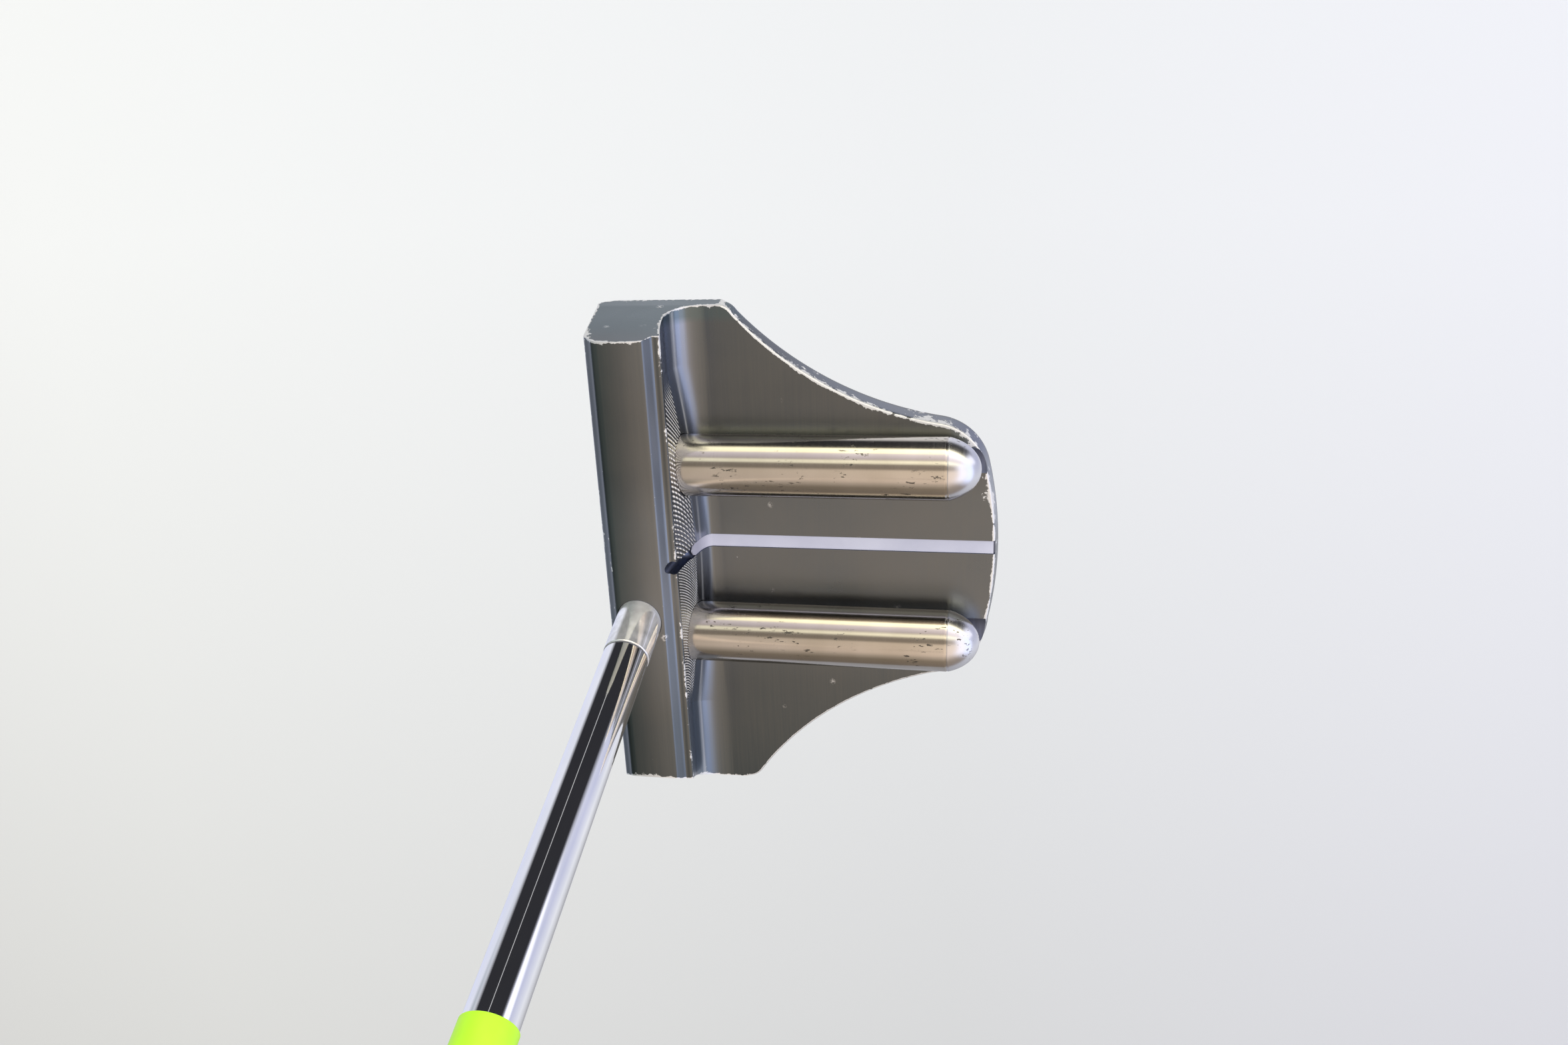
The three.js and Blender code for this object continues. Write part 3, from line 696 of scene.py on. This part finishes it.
def bar_screw(name, node, facts):
    """A countersunk screw seen from the sole, with a six-sided socket."""
    sides = 72
    angle = turns(sides)
    hexagon = HEX_R / np.cos((angle % (math.pi / 3)) - math.pi / 6)
    circle = np.ones(sides)
    rings = [(SHANK_R * circle, SHANK_TOP), (SHANK_R * circle, SCREW_SINK + SCREW_HEIGHT + 0.3),
             (SCREW_R * circle, SCREW_SINK + 0.35), (SCREW_R * circle, SCREW_SINK + 0.12),
             ((SCREW_R - 0.15) * circle, SCREW_SINK), (2.2 * circle, SCREW_SINK),
             (hexagon + 0.12, SCREW_SINK), (hexagon, SCREW_SINK + 0.1), (hexagon, SCREW_SINK + HEX_DEPTH)]
    points = [np.stack([r * np.cos(angle), r * np.sin(angle), np.full(sides, z)], -1) for r, z in rings]
    foot = np.array([facts[0], SCREW_Y, 0]) + HEAD_SHIFT
    faces = grid_faces(len(rings), sides, flip=True) + cap_faces(len(rings), sides, flip=True)
    return add_mesh(name, np.concatenate(points) + foot, faces, "screw_steel", [node])


# ==== pieces on the shaft line

def on_shaft(name, profile, slot, node):
    """A turned piece on the shaft line."""
    return turned(name, profile, SHAFT_FOOT + HEAD_SHIFT, SHAFT_AXIS, SHAFT_SIDES, slot, [node])


def hosel_post():
    """The post in the blade, with the thinner spigot that the shaft slides over."""
    profile = rounded([(0.2, -POST_DEPTH), (POST_R, -POST_DEPTH), (POST_R, POST_TOP), (SPIGOT_R, POST_TOP),
                       (SPIGOT_R, SPIGOT_TOP), (0.2, SPIGOT_TOP)], 0.22)
    return on_shaft("hosel", profile, "hosel_steel", "hosel_post")


def shaft():
    """The tube, which grows in small steps from its tip to its butt."""
    rise = (BUTT_R - TIP_R) / STEP_COUNT
    foot, top = POST_TOP + 0.25, GRIP_TOP - GRIP_CAP - 0.3
    outer = [(TIP_R - 0.15, foot), (TIP_R, foot + 0.2)]
    for step in range(STEP_COUNT):
        place = FIRST_STEP + STEP_PITCH * step
        for t in np.linspace(0, 1, 7):
            outer.append((TIP_R + rise * (step + float(smooth(t))), place + STEP_LENGTH * t))
    butt_bore, tip_bore = BUTT_R - SHAFT_WALL, TIP_R - SHAFT_WALL
    last_step = FIRST_STEP + STEP_PITCH * STEP_COUNT
    inner = [(BUTT_R, top), (butt_bore, top), (butt_bore, last_step)]
    inner += [(tip_bore, FIRST_STEP), (tip_bore, foot)]
    profile = outer + inner
    return on_shaft("shaft_tube", profile + [profile[0]], "shaft_chrome", "shaft")


def shaft_band():
    """The film round the shaft. Mirrors don't show it, so it puts no green on the metal around it."""
    low, high = BAND_START, BAND_START + BAND_LENGTH
    out, inn = TIP_R + BAND_FILM, TIP_R + 0.05
    profile = [(inn, low), (out - 0.08, low), (out, low + 0.1)]
    profile += [(out, high - 0.1), (out - 0.08, high), (inn, high)]
    piece = on_shaft("band", profile + [profile[0]], "band_film", "shaft_band")
    piece.visible_glossy = False
    return piece


def grip():
    """A pistol grip: flat and finely ribbed towards the toe for the thumbs, rounded towards the player,
    with a hook there below the cap."""
    sides, count = 112, 220
    angle = turns(sides)
    side, back, along = frame_about(SHAFT_AXIS)
    foot = SHAFT_FOOT + HEAD_SHIFT
    across, wide = np.cos(angle), np.sin(angle)
    lip, cap_start = 0.7, 0.985

    def ring(share, shrink, lift=0.0):
        swell = math.sin(min(1.0, share * 1.12) * math.pi / 2)
        hook = math.exp(-(((share - 0.9) / 0.16) ** 2))
        half = 9.7 + 2.6 * swell
        flat, behind = 9.6 + 1.2 * swell, 9.8 + 2.4 * swell + 7 * hook
        reach = np.where(across < 0, -flat * np.abs(across) ** 0.55, behind * across)
        body = 1.0 if 0.03 < share < 0.965 else 0.0
        rib = 0.12 * body * np.abs(np.sin(share * 150 * math.pi)) * np.clip(-across * 3, 0, 1)
        radius = np.sqrt(reach ** 2 + (half * wide) ** 2)
        scale = (radius - shrink - rib) / radius
        height = GRIP_BOTTOM + GRIP_LENGTH * share + lift
        return np.outer(reach * scale, side) + np.outer(half * wide * scale, back) + foot + along * height

    rings = []
    for bend in np.linspace(0, 1, 6) * math.pi / 2:
        rings.append(ring(0.0, lip * (1 - math.sin(bend)), lip * (1 - math.cos(bend))))
    rings += [ring(share, 0.0) for share in np.linspace(0.004, cap_start, count)]
    for bend in np.linspace(0.1, 1, 8) * math.pi / 2:
        rings.append(ring(cap_start + (1 - cap_start) * math.sin(bend), 3.2 * (1 - math.cos(bend))))
    top = rings[-1]
    centre = top.mean(axis=0)
    rings += [centre + (top - centre) * share for share in (0.7, 0.4, 0.2)]
    for radius, drop in ((1.5, 0.0), (1.4, 1.0), (1.4, 3.6)):
        rings.append(foot + along * (GRIP_TOP - drop) + circle(angle, radius, side, back))
    for height in (GRIP_TOP - GRIP_CAP, GRIP_BOTTOM):
        rings.append(foot + along * height + circle(angle, BUTT_R + 0.5, side, back))
    faces = grid_faces(len(rings), sides) + closing_faces(len(rings), sides)
    return add_mesh("grip_rubber", np.concatenate(rings), faces, "grip_rubber", ["grip"], smooth_angle=45)


# ==== materials

class Nodes:
    """A short way to write node trees; a value is a number, a colour or another node's output."""

    def __init__(self, tree):
        self.tree = tree

    def link(self, value, socket):
        if hasattr(value, "is_output"):
            self.tree.links.new(value, socket)
        else:
            socket.default_value = value

    def new(self, kind, inputs=None, **settings):
        """A node with its settings, and with inputs by name or place."""
        node = self.tree.nodes.new("ShaderNode" + kind)
        for name, value in settings.items():
            setattr(node, name, value)
        for name, value in (inputs or {}).items():
            self.link(value, node.inputs[name])
        return node

    def math(self, operation, *values):
        return self.new("Math", dict(enumerate(values)), operation=operation).outputs[0]

    def times(self, first, second):
        return self.math("MULTIPLY", first, second)

    def times_plus(self, first, second, third):
        return self.math("MULTIPLY_ADD", first, second, third)

    def heading(self, up, along):
        """The direction of two coordinates as a share of a turn; 0.5 is along the second."""
        return self.times_plus(self.math("DIVIDE", self.math("ARCTAN2", up, along), math.pi), 0.5, 0.5)

    def ramp(self, value, stops):
        """Colours or grey levels between stops, each a position and a colour."""
        node = self.new("ValToRGB", {"Fac": value})
        elements = node.color_ramp.elements
        while len(elements) > 1:
            elements.remove(elements[-1])
        elements[0].position = stops[0][0]
        for position, _ in stops[1:]:
            elements.new(position)
        for element, (_, colour) in zip(elements, stops):
            element.color = (*colour, 1) if isinstance(colour, tuple) else (colour, colour, colour, 1)
        return node.outputs["Color"]

    def mix(self, factor, first, second, blend="MIX"):
        first, second = [value + (1,) if isinstance(value, tuple) else value for value in (first, second)]
        inputs = {0: factor, 6: first, 7: second}
        return self.new("Mix", inputs, data_type="RGBA", blend_type=blend).outputs[2]

    def split(self, vector):
        """The x, y and z of a vector."""
        return self.new("SeparateXYZ", {0: vector}).outputs

    def bump(self, height, strength, distance, normal=None):
        """A surface relief, laid over another one if that is given."""
        inputs = {"Height": height, "Strength": strength, "Distance": distance}
        if normal is not None:
            inputs["Normal"] = normal
        return self.new("Bump", inputs).outputs["Normal"]


class Look(Nodes):
    """A material whose patterns are laid out in the piece's own coordinates, in metres."""

    def __init__(self, name):
        self.material = bpy.data.materials.new(name)
        self.material.use_nodes = True
        super().__init__(self.material.node_tree)
        self.surface = next(node for node in self.tree.nodes if node.type == "BSDF_PRINCIPLED")
        self.place = self.new("TexCoord").outputs["Object"]

    def attribute(self, name):
        return self.new("Attribute", attribute_name=name).outputs["Fac"]

    def noise(self, scale, detail=3.0, rough=0.5):
        """Clouds of a size that a scale sets; three scales stretch them along the axes."""
        vector = self.place
        if isinstance(scale, tuple):
            vector = self.new("Mapping", {"Vector": vector, "Scale": scale}).outputs["Vector"]
            scale = 1.0
        inputs = {"Vector": vector, "Scale": scale, "Detail": detail, "Roughness": rough}
        return self.new("TexNoise", inputs, noise_type="FBM").outputs["Fac"]

    def cells(self, scale, feature="F1"):
        """Distance from the middle of scattered cells."""
        inputs = {"Vector": self.place, "Scale": scale}
        return self.new("TexVoronoi", inputs, feature=feature).outputs["Distance"]

    def finish(self, colour, metallic, roughness, relief=None):
        """Sets the surface and returns the material."""
        self.link(colour, self.surface.inputs["Base Color"])
        self.link(metallic, self.surface.inputs["Metallic"])
        self.link(roughness, self.surface.inputs["Roughness"])
        if relief is not None:
            self.link(relief, self.surface.inputs["Normal"])
        return self.material


def paint(piece, new):
    piece.data.materials.clear()
    piece.data.materials.append(new)


def head_tint(look, cloud, streaks, along, toe):
    """The dark finish of the head, darker on the wings and the toe, with a painted bluish reflection
    mixed in on the fillet, the wall, the step and the skirt.
    """
    tint = look.ramp(cloud, [(0.3, (0.135, 0.155, 0.178)), (0.7, (0.168, 0.182, 0.198))])
    # painted bluish reflection of the window light
    tint = look.mix(look.attribute("fresh"), tint, (0.305, 0.335, 0.41))
    wings = look.ramp(look.times_plus(along, 8, 0.5), [
        (0.1, 0.98), (0.24, 0.8), (0.34, 0.84), (0.42, 1.1), (0.64, 1.12), (0.76, (0.79, 0.81, 0.8)),
        (0.96, (0.56, 0.63, 0.65))])
    tint = look.mix(1.0, tint, wings, "MULTIPLY")
    tint = look.mix(look.times(toe, 0.8), tint, (0.115, 0.165, 0.19))
    return look.mix(look.times(streaks, 0.35), tint, (0.2, 0.2, 0.19))


def worn_edges(look):
    """Where the finish has rubbed off: ragged patches that follow the worn points of the mesh."""
    chip, patch = look.noise(900, 5, 0.65), look.noise(160, 3, 0.6)
    torn = look.times(look.attribute("wear"), 0.6)
    for spread in (chip, patch):
        torn = look.times_plus(look.math("SUBTRACT", spread, 0.5), 1.0, torn)
    return look.ramp(torn, [(0.36, 0.0), (0.42, 1.0)])


def nicks(look, toe):
    """Small ragged nicks, in few places and a little more often on the toe."""
    near = look.ramp(look.cells(170), [(0.04, 1.0), (0.16, 0.0)])
    rare = look.ramp(look.times_plus(toe, 0.1, look.noise(80, 2)), [(0.57, 0.0), (0.61, 1.0)])
    ragged = look.ramp(look.noise(2200), [(0.42, 0.0), (0.55, 1.0)])
    return look.times(look.times(near, rare), ragged)


def milled_aluminium():
    """Dark milled aluminium, bare and bright on worn edges and nicks; the crests of the fly cuts are bare
    metal with a painted highlight that makes them near white.
    """
    look = Look("milled_dark")
    along = look.split(look.place)[0]
    toe = look.ramp(look.times(along, -20), [(0.93, 0.0), (0.96, 1.0)])
    cloud, streaks = look.noise(60, 4), look.noise((60, 2600, 2600))
    crest = look.attribute("crest")
    bare = look.math("MAXIMUM", look.math("MAXIMUM", worn_edges(look), crest), nicks(look, toe))
    # the crests turn near white: a painted highlight on the bare metal
    metal = look.mix(crest, (0.72, 0.73, 0.76), (1.0, 1.0, 1.0))
    colour = look.mix(bare, head_tint(look, cloud, streaks, along, toe), metal)
    metallic = look.times_plus(crest, -0.5, look.times_plus(bare, -0.4, 1.0))
    rough = look.mix(bare, look.ramp(cloud, [(0.3, 0.26), (0.7, 0.34)]), (0.42, 0.42, 0.42))
    grain = look.bump(streaks, 0.12, 0.00004)
    dents = look.bump(look.times(bare, look.noise(3000, 4)), 0.5, 0.0001, grain)
    return look.finish(colour, metallic, rough, dents)


def bored_aluminium():
    """The darker walls that a drill or an end mill leaves."""
    look = Look("bored_dark")
    rings = look.noise((200, 2600, 200))
    colour = look.ramp(rings, [(0.3, (0.13, 0.155, 0.23)), (0.7, (0.17, 0.2, 0.3))])
    return look.finish(colour, 1.0, 0.4, look.bump(rings, 0.3, 0.00005))


def bar_steel():
    """Brushed steel with fine turning rings and a few dark pits; the ball ends are paler and duller."""
    look = Look("bar_steel_brushed")
    lines, rings = look.noise((3000, 30, 3000)), look.noise((60, 5200, 60), 4)
    tint = look.ramp(look.noise(90), [(0.3, (0.55, 0.515, 0.465)), (0.7, (0.65, 0.615, 0.575))])
    close = look.ramp(look.noise((1500, 480, 1500), 4, 0.6), [(0.61, 0.0), (0.65, 1.0)])
    few = look.ramp(look.noise(110, 2), [(0.46, 0.0), (0.54, 1.0)])
    pits = look.times(close, few)
    ball = look.attribute("ball")
    colour = look.mix(pits, look.mix(ball, tint, (0.72, 0.72, 0.76)), (0.16, 0.15, 0.14))
    rough = look.times_plus(pits, 0.3, look.math("ADD", look.times(rings, 0.12), 0.1))
    relief = look.bump(rings, 0.12, 0.00003, look.bump(lines, 0.1, 0.00003))
    return look.finish(colour, 1.0, look.times_plus(ball, 0.08, rough), relief)


def satin_steel(name, colour, roughness, metallic):
    """Blasted or plated steel with a blotchy, slightly scuffed surface."""
    look = Look(name)
    dark = tuple(channel * 0.7 for channel in colour)
    blotchy = look.ramp(look.noise(260, 5, 0.6), [(0.35, dark), (0.6, colour)])
    scuffs = look.noise(900, 4, 0.6)
    rough = look.times_plus(scuffs, 0.25, roughness)
    return look.finish(blotchy, metallic, rough, look.bump(scuffs, 0.15, 0.00004))


def shaft_chrome():
    """Bright plating with faint smears along the shaft."""
    look = Look("chrome_plate")
    colour = look.ramp(look.noise(120), [(0.3, (0.86, 0.87, 0.89)), (0.7, (0.93, 0.93, 0.94))])
    smear = look.noise((700, 700, 90), 4)
    rough = look.math("ADD", look.times(smear, 0.07), 0.03)
    return look.finish(colour, 1.0, rough, look.bump(smear, 0.03, 0.00003))


def painted(name, light, dark, roughness, grain):
    """Semi-gloss paint, film or plastic with slight clouding and an orange-peel surface."""
    look = Look(name)
    colour = look.ramp(look.noise(130, 4), [(0.3, dark), (0.7, light)])
    peel = look.noise(grain)
    rough = look.math("ADD", look.times(peel, 0.15), roughness)
    return look.finish(colour, 0.0, rough, look.bump(peel, 0.12, 0.00005))


def rubber():
    """Dark rubber with a pebbled surface."""
    look = Look("grip_rubber_dark")
    colour = look.ramp(look.noise(80, 4), [(0.3, (0.018, 0.019, 0.021)), (0.7, (0.034, 0.035, 0.038))])
    pebbles = look.bump(look.cells(1100, "SMOOTH_F1"), 0.5, 0.0002)
    return look.finish(colour, 0.0, 0.72, look.bump(look.noise(4000), 0.2, 0.00005, pebbles))


def paper_tape():
    """Tan paper with a weave that runs along the shaft."""
    look = Look("grip_tape_paper")
    weave = look.noise((2500, 2500, 300), 4)
    colour = look.ramp(weave, [(0.3, (0.62, 0.52, 0.33)), (0.7, (0.78, 0.7, 0.5))])
    return look.finish(colour, 0.0, 0.85, look.bump(weave, 0.3, 0.0001))


# ==== stage

def floor():
    """A wide pale floor well below the head, with painted light across it: a painted tint, lighter
    towards -y and bluer towards +y, and painted shade that darkens it towards +x.
    """
    mesh = bpy.data.meshes.new("floor")
    with editing(mesh) as shape:
        bmesh.ops.create_grid(shape, x_segments=8, y_segments=8, size=30.0)
    piece = add_object("floor", mesh)
    piece.location.z = -FLOOR_DROP
    look = Look("floor_pale")
    x, y, _ = look.split(look.place)
    # painted tint of the light: lighter towards -y, bluer towards +y where the window light comes from
    cool = look.ramp(look.times_plus(y, 0.7, 0.5),
                     [(0.0, (0.85, 0.9, 0.95)), (0.5, (0.765, 0.81, 0.88)), (1.0, (0.765, 0.805, 0.95))])
    # painted shade: darker towards +x
    far = look.ramp(look.times_plus(x, 0.6, 0.35), [(0.35, 1.0), (0.7, 0.86), (1.0, 0.76)])
    look.surface.inputs["Specular IOR Level"].default_value = 0.0
    paint(piece, look.finish(look.mix(1.0, cool, far, "MULTIPLY"), 0.0, 0.9))
    piece.visible_glossy = False


def at(degrees):
    """A direction as a ramp position, for ramps that run over a whole turn."""
    return 0.5 + degrees / 360


def overhead_panels(nodes, x, y, z):
    """Panels in an arch overhead, from the toe at -90 degrees to the heel at 90, darker in front."""
    arch = nodes.ramp(nodes.heading(x, z), [
        (at(-93), (0.10, 0.10, 0.10)), (at(-88), (2.2, 2.1, 1.5)), (at(-72), (2.0, 1.9, 1.3)),
        (at(-68), (1.05, 0.98, 1.02)), (at(-50), (0.7, 0.64, 0.66)), (at(-46), (0.6, 0.55, 0.5)),
        (at(-41), (1.35, 1.3, 1.0)), (at(-34), (1.35, 1.3, 1.0)), (at(-29), (0.3, 0.26, 0.22)),
        (at(-13), (0.28, 0.24, 0.19)), (at(-7), (0.78, 0.67, 0.53)), (at(32), (0.76, 0.64, 0.52)),
        (at(44), (0.5, 0.43, 0.35)), (at(60), (0.25, 0.21, 0.16)), (at(90), (0.2, 0.17, 0.14)),
    ])
    depth = nodes.ramp(nodes.times_plus(y, 0.5, 0.5), [
        (0.2, (0.36, 0.48, 0.53)), (0.28, (0.64, 0.7, 0.73)), (0.38, (0.88, 0.88, 0.92)),
        (0.5, (1.45, 1.4, 1.4)),
    ])
    return nodes.mix(1.0, arch, depth, "MULTIPLY")


def studio():
    """Light from all round: panels overhead, cool light behind and a pale ground, dark to the toe."""
    world = bpy.data.worlds.new("studio")
    bpy.context.scene.world = world
    world.use_nodes = True
    nodes = Nodes(world.node_tree)
    x, y, z = nodes.split(nodes.new("TexCoord").outputs["Generated"])
    heading = nodes.heading(y, x)
    height = nodes.times_plus(z, 0.5, 0.5)  # 0 is straight down and 1 straight up
    ground = nodes.ramp(heading, [
        (at(-180), (0.9, 0.9, 0.9)), (at(-60), (0.74, 0.77, 0.95)), (at(0), (0.4, 0.4, 0.42)),
        (at(60), (0.85, 0.86, 0.92)), (at(100), (0.6, 0.62, 0.8)), (at(180), (0.9, 0.9, 0.92)),
    ])

    def patch(across, up, under, colour):
        """A soft-edged patch that starts, is full and ends at four directions across and four heights."""
        levels = (0.0, 1.0, 1.0, 0.0)
        wide = nodes.ramp(heading, [(at(degrees), level) for degrees, level in zip(across, levels)])
        tall = nodes.ramp(height, list(zip(up, levels)))
        return nodes.mix(nodes.times(wide, tall), under, colour)

    ground = patch((-180, -179.9, -138, -122), (0.13, 0.2, 0.9, 1.0), ground, (0.03, 0.03, 0.035))
    ground = patch((117, 133, 179.9, 180), (0.13, 0.2, 0.9, 1.0), ground, (0.03, 0.03, 0.035))
    ground = patch((-128, -115, -40, -20), (0.29, 0.36, 0.9, 1.0), ground, (0.2, 0.25, 0.28))
    below = nodes.ramp(height, [(0.46, 1.0), (0.5, 0.0)])
    room = nodes.mix(below, overhead_panels(nodes, x, y, z), ground)
    room = patch((40, 62, 112, 124), (0.45, 0.5, 0.66, 0.72), room, (1.3, 1.4, 1.75))
    room = patch((40, 62, 112, 124), (0.66, 0.72, 0.8, 0.88), room, (1.45, 1.4, 1.5))
    room = patch((98, 104, 120, 128), (0.28, 0.31, 0.5, 0.6), room, (1.4, 1.4, 1.55))
    seen = nodes.new("LightPath").outputs["Is Camera Ray"]
    background = world.node_tree.nodes["Background"]
    nodes.link(nodes.mix(seen, room, (0.86, 0.86, 0.87)), background.inputs["Color"])
    background.inputs["Strength"].default_value = 1.0


def soft_panel(name, place, size, energy, colour):
    """An area light that looks at the middle of the sole and is not seen in mirrors."""
    data = bpy.data.lights.new(name, "AREA")
    data.shape = "RECTANGLE"
    data.size, data.size_y = size
    data.energy = energy
    data.color = colour
    light = add_object(name, data)
    light.location = place
    light.rotation_mode = "QUATERNION"
    light.rotation_quaternion = (-Vector(place)).to_track_quat("-Z", "Y")
    light.visible_glossy = False


def camera():
    """The camera, from its place and two of its directions."""
    data = bpy.data.cameras.new("camera")
    data.sensor_width = 36.0
    data.lens = CAMERA_LENS
    data.clip_start = 0.005
    data.clip_end = 100.0
    piece = add_object("camera", data)
    up = CAMERA_RIGHT.cross(CAMERA_FORWARD)
    axes = Matrix((CAMERA_RIGHT, up, -CAMERA_FORWARD)).transposed()
    piece.matrix_world = Matrix.Translation(CAMERA_PLACE) @ axes.to_4x4()
    bpy.context.scene.camera = piece


# ==== assembly

bpy.context.scene.view_settings.view_transform = "Standard"
camera()
studio()
floor()
soft_panel("overhead", (-0.4, 0.2, 1.6), (2.4, 2.4), 27.5, (0.9, 0.96, 1.0))

head_body()
steel = bar_steel()
for end, facts in BARS.items():
    paint(bar(end + "_bar_turned", end + "_bar", facts), steel)
screw_finish = satin_steel("screw_steel_satin", (0.5, 0.5, 0.51), 0.3, 1.0)
for end, facts in BARS.items():
    paint(bar_screw(end + "_screw", end + "_bar_screw", facts), screw_finish)
paint(sight_paint(), painted("sight_paint_pale", (0.5, 0.51, 0.63), (0.43, 0.44, 0.56), 0.42, 900))
paint(hosel_post(), satin_steel("hosel_satin", (0.94, 0.95, 1.0), 0.03, 0.74))
paint(shaft(), shaft_chrome())
paint(shaft_band(), painted("band_lime", (0.52, 0.95, 0.03), (0.44, 0.85, 0.02), 0.35, 600))
paint(grip(), rubber())
paint(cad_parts["grip_tape"], paper_tape())
